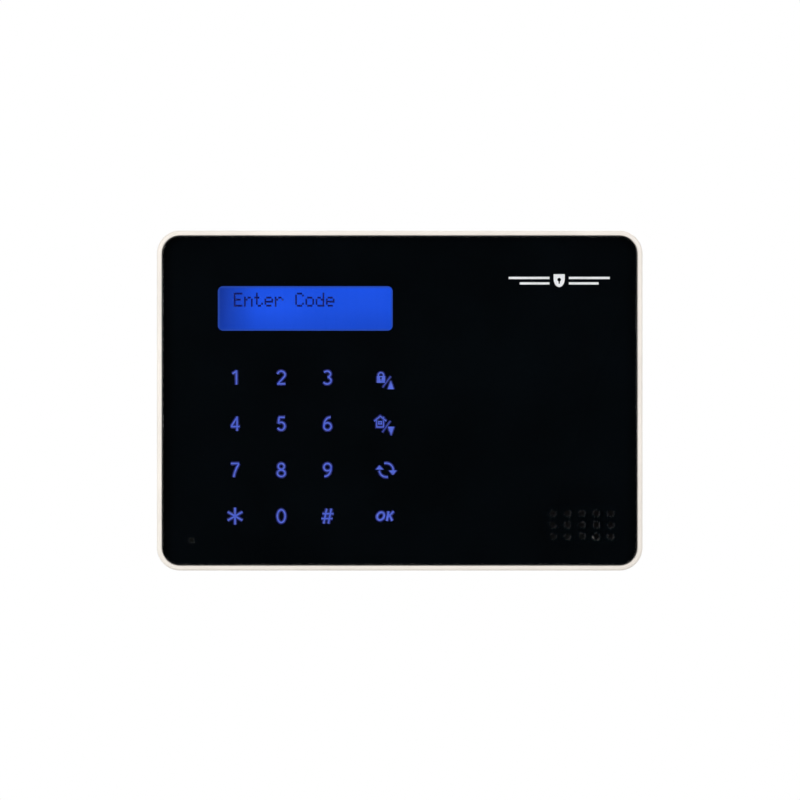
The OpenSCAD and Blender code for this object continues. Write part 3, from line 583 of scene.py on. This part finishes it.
def digit_paths():
    """Centre lines of the digits on a cap height of 1, as lists of (path, closed)."""
    six = [(loop((0.28, 0.31), (0.215, 0.25)), True), (arc((0.43, 0.31), (0.365, 0.63), 84, 180), False)]
    nine = [((0.56, 1.0) - path, closed) for path, closed in six]
    return {
        "0": [(loop((0.28, 0.5), (0.23, 0.44)), True)],
        "1": [([(0.36, 0), (0.36, 1)], False), ([(0.12, 0.77), (0.25, 0.84), (0.37, 0.97)], False)],
        "2": [(np.vstack([arc((0.28, 0.69), (0.22, 0.25), 170, -38), [(0.07, 0.05)]]), False),
              ([(0.03, 0.06), (0.53, 0.06)], False)],
        "3": [(arc((0.26, 0.735), (0.20, 0.205), 150, -85), False),
              (arc((0.26, 0.285), (0.235, 0.235), 85, -155), False)],
        "4": [([(0.40, 0), (0.40, 1)], False), ([(0.41, 0.97), (0.06, 0.32)], False),
              ([(0.02, 0.30), (0.56, 0.30)], False)],
        "5": [([(0.49, 0.945), (0.12, 0.945)], False), ([(0.16, 0.97), (0.11, 0.50)], False),
              (arc((0.27, 0.33), (0.22, 0.27), 140, -155), False)],
        "6": six,
        "7": [([(0.03, 0.945), (0.53, 0.945)], False),
              ([(0.51, 0.93), (0.37, 0.64), (0.26, 0.32), (0.20, 0)], False)],
        "8": [(loop((0.28, 0.745), (0.18, 0.20)), True), (loop((0.28, 0.27), (0.225, 0.225)), True)],
        "9": nine,
    }


def digit_strokes(digit, height, stroke):
    """One digit's strokes around its own middle, as (path, width, closed, ink)."""
    return [((np.asarray(path, float) - (0.28, 0.5)) * (DIGIT_WIDE * height, height), stroke, closed, LIT)
            for path, closed in digit_paths()[digit]]


def solid_triangle(tip, base, half_width):
    """A triangle as one bar: no width at its tip, twice half_width at its base."""
    return ([tip, base], np.array([0.02, 2 * half_width]), False, LIT)


def slash(top, bottom):
    """The thin stroke between a key's two symbols."""
    return ([top, bottom], 0.16, False, LIT)


def slanted(path, lean=0.2):
    """A path leaned over to the right: x grows by lean times y."""
    path = np.asarray(path, float)
    return np.column_stack([path[:, 0] + lean * path[:, 1], path[:, 1]])


def disc(centre, radius, ink):
    """A filled circle as one bar across it, its width the circle's chord at each point."""
    across = radius * np.cos(np.radians(np.linspace(178, 2, 13)))
    path = np.column_stack([centre[0] + across, np.full(len(across), centre[1])])
    return (path, 2 * np.sqrt(radius ** 2 - across ** 2), False, ink)


def symbol_strokes():
    """Strokes of the other legends around their keys' middles, in millimetres."""
    spokes = [([(2.95 * math.cos(a), 2.95 * math.sin(a)), (-2.95 * math.cos(a), -2.95 * math.sin(a))],
               0.55, False, LIT) for a in np.radians([30, 90, 150])]
    bars = [(slanted([(x, -2.6), (x, 2.6)]), 0.55, False, LIT) for x in (-0.8, 0.8)]
    bars += [(slanted([(-1.95, z), (1.95, z)]), 0.52, False, LIT) for z in (-0.85, 0.85)]
    padlock = [
        ([(-1.48, 0.5), (-1.48, -1.85)], 2.76, False, LIT),
        (np.vstack([[(-2.4, 0.4)], arc((-1.48, 0.72), (0.92, 0.95), 180, 0), [(-0.56, 0.4)]]),
         0.42, False, LIT),
        disc((-1.5, -0.2), 0.34, DARK), ([(-1.5, -0.2), (-1.5, -1.1)], 0.28, False, DARK),
        slash((1.87, 0.4), (-0.93, -3.45)), solid_triangle((1.91, -1.1), (1.91, -4.07), 1.08),
    ]
    house = [
        ([(-3.84, 0.85), (-1.73, 2.6), (0.38, 0.85)], 0.42, False, LIT),
        ([(-2.98, 1.2), (-2.98, -1.15), (-0.62, -1.15), (-0.62, 1.2)], 0.36, False, LIT),
        ([(-0.62, 1.7), (-0.62, 2.45)], 0.42, False, LIT),
        ([(-1.8, 0.95), (-1.8, -0.3)], 1.35, False, LIT),
        ([(-2.3, 0.33), (-1.3, 0.33)], 0.14, False, DARK), ([(-1.8, 0.8), (-1.8, -0.15)], 0.14, False, DARK),
        slash((1.8, 0.97), (-1.04, -2.99)), solid_triangle((2.01, -4.1), (2.01, -1.03), 1.09),
    ]
    cycle = [
        (arc((0.34, -0.05), (2.4, 2.4), 183, 285), 0.5, False, LIT),
        (arc((0.34, -0.05), (2.4, 2.4), 107, -3), 0.5, False, LIT),
        solid_triangle((-1.98, 1.6), (-1.98, 0.1), 1.33), solid_triangle((2.62, -1.76), (2.62, -0.16), 1.36),
    ]
    confirm = [
        (slanted(loop((-1.58, 0.0), (1.2, 1.32))), 0.66, True, LIT),
        (slanted([(0.85, -1.66), (0.85, 1.66)]), 0.70, False, LIT),
        (slanted([(0.95, -0.3), (2.6, 1.66)]), 0.60, False, LIT),
        (slanted([(1.45, 0.3), (2.7, -1.66)]), 0.66, False, LIT),
    ]
    return {"star": spokes, "hash": bars, "padlock": padlock, "house": house,
            "cycle": cycle, "confirm": confirm}


# Material numbers of a legend: its light, the dark print on it and the halo round it
LIT, DARK, HALO = 0, 1, 2


def legend_shells(strokes, centre, spread):
    """A legend's strokes as bars in the print, each with a wider, deeper bar for its halo.

    The bars' fronts stand a hair inside the clear sheet, so that they are seen in front of
    the print. Dark print lies over the light, and the halo lies under it."""
    film_back, film_front = film_faces()
    shells = []
    for path, width, closed, ink in strokes:
        path = np.asarray(path, float) + centre
        lift = 0.05 if ink == DARK else 0.03
        shells.append((*carried(path, width, film_back, film_front + lift, closed), ink))
        if ink == LIT:
            wide = np.maximum(np.asarray(width, float) + 2 * spread, 2 * spread)
            shells.append((*carried(path, wide, film_back, film_front + 0.012, closed), HALO))
    return shells


def film_faces():
    """Distances of the print's back and front from the wall, in millimetres."""
    low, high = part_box("print_film")
    return -high[1] / MM, -low[1] / MM


# Dots of the characters, five across and seven down, one row after another
FONT = {
    "E": "11111 10000 10000 11110 10000 10000 11111",
    "n": "00000 00000 10110 11001 10001 10001 10001",
    "t": "01000 01000 11100 01000 01000 01001 00110",
    "e": "00000 00000 01110 10001 11111 10000 01110",
    "r": "00000 00000 10110 11001 10000 10000 10000",
    "C": "01110 10001 10000 10000 10000 10001 01110",
    "o": "00000 00000 01110 10001 10001 10001 01110",
    "d": "00001 00001 01101 10011 10001 10001 01111",
    " ": "00000 00000 00000 00000 00000 00000 00000",
}


# ------------------------------------------------------------ operators

class KeypadOperator(bpy.types.Operator):
    """What every step of the keypad has in common."""

    bl_options = {"REGISTER", "UNDO"}

    def execute(self, context):
        """Runs the step with the scene's colours and sizes."""
        self.build(context.scene, context.scene.keypad_colours, context.scene.keypad_sizes)
        return {"FINISHED"}


class KEYPAD_OT_stage(KeypadOperator):
    """Lays the floor and sets up the lights, the surroundings and the camera"""

    bl_idname = "keypad.stage"
    bl_label = "Stage"

    def build(self, scene, colours, sizes):
        """Floor, surroundings, lamps and camera."""
        scene.view_settings.view_transform = "Standard"
        self.lay_floor()
        self.light_surroundings(scene)
        for name, place, size, power in (
                ("lamp_left", (-0.95, -0.85, 0.30), 0.7, 8.5), ("lamp_right", (0.95, -0.85, 0.30), 0.7, 6.5),
                ("lamp_top", (0.0, -0.55, 1.1), 0.8, 2.5), ("lamp_back", (0.3, 1.2, 0.7), 0.9, 5.0)):
            self.hang_lamp(name, place, size, power)
        self.place_camera(scene)

    def lay_floor(self):
        """A round floor: rings of points at radius r and angle a, at (r cos a, r sin a)."""
        rings, turns, radius, level = 8, 64, 0.95, -0.35
        r = np.linspace(0.001, radius, rings)[:, None]
        a = np.linspace(0, 2 * np.pi, turns, endpoint=False)[None, :]
        points = np.dstack([r * np.cos(a), r * np.sin(a), np.full((rings, turns), level)]).reshape(-1, 3)
        i, k = np.meshgrid(np.arange(rings - 1) * turns, np.arange(turns), indexing="ij")
        after = (k + 1) % turns
        quads = np.stack([i + k, i + turns + k, i + turns + after, i + after], axis=2).reshape(-1, 4)
        mesh = bpy.data.meshes.new("floor")
        mesh.from_pydata(points.tolist(), [], quads.tolist() + [list(range(turns - 1, -1, -1))])
        floor = bpy.data.objects.new("floor", mesh)
        bpy.context.scene.collection.objects.link(floor)
        p = paint("pale_floor")
        cloud = p.noise(60, 3)
        mesh.materials.append(p.surface(
            Base_Color=p.blend(cloud, (0.80, 0.80, 0.79, 1.0), (0.84, 0.84, 0.83, 1.0)),
            Roughness=0.8 + (cloud - 0.5) * 0.1, Normal=p.bump(p.noise(2.5), 0.05)))

    def light_surroundings(self, scene):
        """White behind the object, soft grey light all round, and dark where a flat front looks."""
        scene.world = bpy.data.worlds.new("studio")
        p = Paint(scene.world)
        toward = p.node("ShaderNodeSeparateXYZ", inputs={
            0: p.node("ShaderNodeTexCoord", output="Generated")}, output="Y")
        aside = (toward + 1.0).step(0.02, 0.20)
        soft = p.node("ShaderNodeBackground", inputs={
            "Color": (1.0, 0.99, 0.97, 1.0), "Strength": aside * 0.45 + 0.002})
        white = p.node("ShaderNodeBackground", inputs={"Color": (1.0, 1.0, 1.0, 1.0), "Strength": 1.0})
        seen = p.node("ShaderNodeLightPath", output="Is Camera Ray")
        both = p.node("ShaderNodeMixShader", inputs={0: seen, 1: soft, 2: white})
        p.node("ShaderNodeOutputWorld", inputs={"Surface": both})

    def hang_lamp(self, name, place, size, power):
        """A square soft lamp that faces the object."""
        lamp = bpy.data.lights.new(name, "AREA")
        lamp.size, lamp.energy = size, power
        holder = bpy.data.objects.new(name, lamp)
        bpy.context.scene.collection.objects.link(holder)
        holder.location = place
        away = np.array(place) / np.linalg.norm(place)
        across = math.atan2(away[0], -away[1])
        holder.rotation_euler = (math.acos(away[2]), 0.0, across)

    def place_camera(self, scene):
        """A long lens straight in front of the panel, which fills six tenths of the frame."""
        low, high = (np.array(corner, float) for corner in CAD_BOX)
        lens = bpy.data.cameras.new("front_camera")
        lens.lens, lens.sensor_width = 150.0, 36.0
        widths_in_frame, aim_x, aim_z = 1.646, 0.0001, 0.0002
        distance = widths_in_frame * (high[0] - low[0]) * lens.lens / lens.sensor_width
        camera = bpy.data.objects.new("front_camera", lens)
        scene.collection.objects.link(camera)
        camera.location = (aim_x, low[1] - distance, aim_z)
        camera.rotation_euler = (math.pi / 2, 0.0, 0.0)
        scene.camera = camera


class KEYPAD_OT_paint_mouldings(KeypadOperator):
    """Paints the moulded plastic, rubber and cable pieces"""

    bl_idname = "keypad.paint_mouldings"
    bl_label = "Mouldings"

    def build(self, scene, colours, sizes):
        """Each slot gets a moulded finish with its own grain."""
        give("housing_white", moulded("housing_white", colours.housing, 0.40, 0.25, 0.010, 0.15, 0.30))
        for slot, colour, roughness, grain, depth in (
                ("white_plastic", (0.80, 0.80, 0.78), 0.38, 0.35, 0.008),
                ("black_plastic", (0.022, 0.022, 0.024), 0.48, 0.12, 0.012),
                ("black_rubber", (0.018, 0.018, 0.018), 0.72, 0.10, 0.010),
                ("terminal_green", (0.022, 0.27, 0.085), 0.36, 0.25, 0.010),
                ("switch_red", (0.42, 0.018, 0.016), 0.34, 0.30, 0.006),
                ("trimmer_blue", (0.012, 0.075, 0.36), 0.30, 0.30, 0.006),
                ("lead_red", (0.42, 0.012, 0.010), 0.40, 0.6, 0.015),
                ("lead_black", (0.016, 0.016, 0.017), 0.42, 0.6, 0.015)):
            give(slot, moulded(slot, colour, roughness, grain, depth, edge_mm=0.12))
        give("foam", foam("foam", (0.045, 0.045, 0.047), 0.45))


class KEYPAD_OT_paint_metals(KeypadOperator):
    """Paints the screws, cans, contacts and the display's bezel"""

    bl_idname = "keypad.paint_metals"
    bl_label = "Metals"

    def build(self, scene, colours, sizes):
        """Zinc, brass, copper, aluminium and painted steel."""
        give("steel", plated("steel", (0.66, 0.66, 0.65), 0.30))
        give("brass", plated("brass", (0.72, 0.50, 0.20), 0.26, (900.0, 900.0, 60.0)))
        give("aluminium", plated("aluminium", (0.78, 0.78, 0.79), 0.34, (900.0, 60.0, 900.0), felt=True))
        give("copper", plated("copper", (0.62, 0.28, 0.13), 0.34, None))
        give("capacitor_sleeve", plated("capacitor_sleeve", (0.70, 0.70, 0.72), 0.30, (900.0, 60.0, 900.0)))
        give("black_steel", painted_steel("black_steel", (0.018, 0.018, 0.020)))
        give("magnet", sintered("magnet", (0.075, 0.075, 0.08)))


class KEYPAD_OT_paint_front(KeypadOperator):
    """Paints the clear sheet, the print behind it and its tape"""

    bl_idname = "keypad.paint_front"
    bl_label = "Front sheet"

    def build(self, scene, colours, sizes):
        """The sheet casts no shadow of its own, as clear plastic hardly does."""
        give("clear_acrylic", clear_sheet("clear_acrylic"))
        frame["nodes"]["front_panel"].visible_shadow = False
        give("black_print", screen_print("black_print", colours.print_black))
        give("black_tape", foam("black_tape", (0.02, 0.02, 0.02), 0.3))


class KEYPAD_OT_paint_lights(KeypadOperator):
    """Paints the lamps, the diffuser and the display's glass"""

    bl_idname = "keypad.paint_lights"
    bl_label = "Lamps and glass"

    def build(self, scene, colours, sizes):
        """Blue light behind frosted film, and the glass's dim polariser."""
        give("led_blue", lit_surface("led_blue", (0.10, 0.16, 0.9, 1), (0.45, 0.55, 1.0, 1), 0.5, 0.15))
        for slot, low, high, size_mm, roughness in (
                ("diffuser_film", (0.012, 0.02, 0.16, 1), (0.03, 0.05, 0.32, 1), 8.0, 0.6),
                ("display_glass", (0.006, 0.02, 0.20, 1), (0.01, 0.04, 0.32, 1), 12.0, 0.1)):
            give(slot, lit_surface(slot, low, high, size_mm, roughness))


class KEYPAD_OT_paint_boards(KeypadOperator):
    """Paints the circuit boards"""

    bl_idname = "keypad.paint_boards"
    bl_label = "Circuit boards"

    def build(self, scene, colours, sizes):
        """Solder mask, tracks, vias and cut edges."""
        give("board_green", circuit_board("board_green", tuple(colours.mask)))


class KEYPAD_OT_paint_sound(KeypadOperator):
    """Paints the loudspeaker's cone and the cloth over it"""

    bl_idname = "keypad.paint_sound"
    bl_label = "Loudspeaker"

    def build(self, scene, colours, sizes):
        """Pressed paper and woven cloth."""
        give("cone_paper", pressed_paper("cone_paper", (0.035, 0.034, 0.033)))
        give("mesh_cloth", woven("mesh_cloth", (0.0016, 0.0017, 0.0018), 0.28))


class KEYPAD_OT_legends(KeypadOperator):
    """Makes the lit digits and symbols of the sixteen keys"""

    bl_idname = "keypad.legends"
    bl_label = "Legends"

    ROWS = (("1", "2", "3", "padlock"), ("4", "5", "6", "house"),
            ("7", "8", "9", "cycle"), ("star", "0", "hash", "confirm"))

    def build(self, scene, colours, sizes):
        """One piece per key, at the middle of the key's lamp."""
        ink = [
            lit_surface("legend_light", rgba(colours.legend, 0.86), rgba(colours.legend, 1.18), 1.2),
            screen_print("legend_print", colours.print_black),
            lit_surface("legend_halo", rgba(colours.halo, 0.7), rgba(colours.halo, 1.25), 0.9)]
        spread = sizes.halo_spread / MM
        symbols = symbol_strokes()
        for names, centres in zip(self.ROWS, key_centres()):
            for name, centre in zip(names, centres):
                strokes = symbols.get(name) or digit_strokes(
                    name, sizes.digit_h / MM, sizes.digit_stroke / MM)
                make_piece(f"legend_{name}", legend_shells(strokes, centre, spread), ink)


class KEYPAD_OT_emblem(KeypadOperator):
    """Makes the plain white mark near the top right corner"""

    bl_idname = "keypad.emblem"
    bl_label = "Emblem"

    def build(self, scene, colours, sizes):
        """A small shield with a keyhole, between two rows of short rules."""
        high = np.array(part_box("front_panel")[1], float) / MM
        centre = np.array([high[0] - sizes.emblem_right / MM, high[2] - sizes.emblem_top / MM])
        half_w, half_h = sizes.emblem_w / MM / 2, sizes.emblem_h / MM / 2
        curved_part, widest = 1.35 * half_h, 1.72 * half_h
        down = np.linspace(half_h, -half_h, 17)
        belly = np.clip((down + half_h) / curved_part, 0, 1)
        shield = widest * np.sqrt(1 - (1 - belly) ** 2)
        film_back, film_front = film_faces()
        strokes = [(np.column_stack([np.zeros_like(down), down]), np.maximum(shield, 0.02), False, LIT)]
        strokes += [disc((0.0, 0.35), 0.62, DARK), ([(0.0, 0.3), (0.0, -1.05)], 0.46, False, DARK)]
        rule_z, rule_w, inner_end = 0.42 * half_h, 0.8, half_h + 1.1
        for side in (-1, 1):
            for z, reach in ((rule_z, 1.0), (-rule_z, 0.78)):
                rule = [(side * inner_end, z), (side * half_w * reach, z)]
                strokes.append((rule, rule_w, False, LIT))
        fronts = {LIT: film_front + MARK_LIGHT, DARK: film_front + MARK_DARK}
        shells = [
            (*carried(np.asarray(path) + centre, width, film_back, fronts[ink], closed), ink)
            for path, width, closed, ink in strokes]
        white = moulded("emblem_white", colours.emblem, 0.5, 0.15, 0.004, worn=0.0, edge_mm=0.05)
        dark = screen_print("emblem_print", colours.print_black)
        make_piece("front_emblem", shells, [white, dark])


class KEYPAD_OT_display_face(KeypadOperator):
    """Makes the backlit face in front of the display's glass"""

    bl_idname = "keypad.display_face"
    bl_label = "Display face"

    def build(self, scene, colours, sizes):
        """A thin sheet over the bezel's opening, a little larger than the window."""
        low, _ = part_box("lcd_glass")
        front = -low[1] / MM
        x, _, z = middle("lcd_bezel") / MM
        behind_frame_w, behind_frame_h = 3.0, 0.8
        size = (sizes.window_w / MM + behind_frame_w, sizes.window_h / MM + behind_frame_h)
        shell = (*blocks([(x, z)], size, front + FACE_BACK, front + FACE_FRONT), 0)
        make_piece("display_face", [shell], [display_glow("display_face", colours, sizes)])


class KEYPAD_OT_prompt(KeypadOperator):
    """Makes the dark dots of the words on the display"""

    bl_idname = "keypad.prompt"
    bl_label = "Prompt"

    def build(self, scene, colours, sizes):
        """Each lit dot of each character, counted from the left end of the first row."""
        low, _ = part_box("lcd_glass")
        front = -low[1] / MM
        x, _, z = middle("lcd_bezel") / MM
        cell, pitch = sizes.cell_w / MM, np.array([sizes.dot_pitch_x, sizes.dot_pitch_z]) / MM
        left, top = x - 8 * cell + pitch[0] / 2, z + sizes.first_row / MM
        places = []
        for column, letter in enumerate(sizes.prompt):
            if letter not in FONT:
                raise RuntimeError(f"the display's font has no character {letter!r}")
            dots = np.array([[mark == "1" for mark in row] for row in FONT[letter].split()])
            rows, across = np.nonzero(dots)
            places.append(np.column_stack([left + column * cell + across * pitch[0], top - rows * pitch[1]]))
        size = pitch - sizes.dot_gap / MM
        shell = (*blocks(np.vstack(places), size, front + DOTS_BACK, front + DOTS_FRONT), 0)
        ink = lit_surface("character_ink", rgba(colours.ink, 0.85), rgba(colours.ink, 1.2), 1.5, 0.3)
        make_piece("display_prompt", [shell], [ink])


STEPS = (
    KEYPAD_OT_stage, KEYPAD_OT_paint_mouldings, KEYPAD_OT_paint_metals, KEYPAD_OT_paint_front,
    KEYPAD_OT_paint_lights, KEYPAD_OT_paint_boards, KEYPAD_OT_paint_sound, KEYPAD_OT_legends,
    KEYPAD_OT_emblem, KEYPAD_OT_display_face, KEYPAD_OT_prompt,
)


class KEYPAD_PT_steps(bpy.types.Panel):
    """Lists the keypad's steps, colours and sizes"""

    bl_idname = "KEYPAD_PT_steps"
    bl_label = "Wall keypad"
    bl_space_type = "VIEW_3D"
    bl_region_type = "UI"
    bl_category = "Keypad"

    def draw(self, context):
        """One button per step, then every setting."""
        for step in STEPS:
            self.layout.operator(step.bl_idname)
        for settings in (context.scene.keypad_colours, context.scene.keypad_sizes):
            for name in settings.__annotations__:
                self.layout.prop(settings, name)


CLASSES = (KeypadColours, KeypadSizes, *STEPS, KEYPAD_PT_steps)


def register():
    """Adds the settings, the operators and the panel."""
    for kind in CLASSES:
        bpy.utils.register_class(kind)
    bpy.types.Scene.keypad_colours = bpy.props.PointerProperty(type=KeypadColours)
    bpy.types.Scene.keypad_sizes = bpy.props.PointerProperty(type=KeypadSizes)


def unregister():
    """Takes them away again."""
    del bpy.types.Scene.keypad_sizes, bpy.types.Scene.keypad_colours
    for kind in reversed(CLASSES):
        bpy.utils.unregister_class(kind)


def main():
    """Runs every step in order."""
    register()
    for step in STEPS:
        group, name = step.bl_idname.split(".")
        getattr(getattr(bpy.ops, group), name)()


if __name__ == "__main__":
    main()
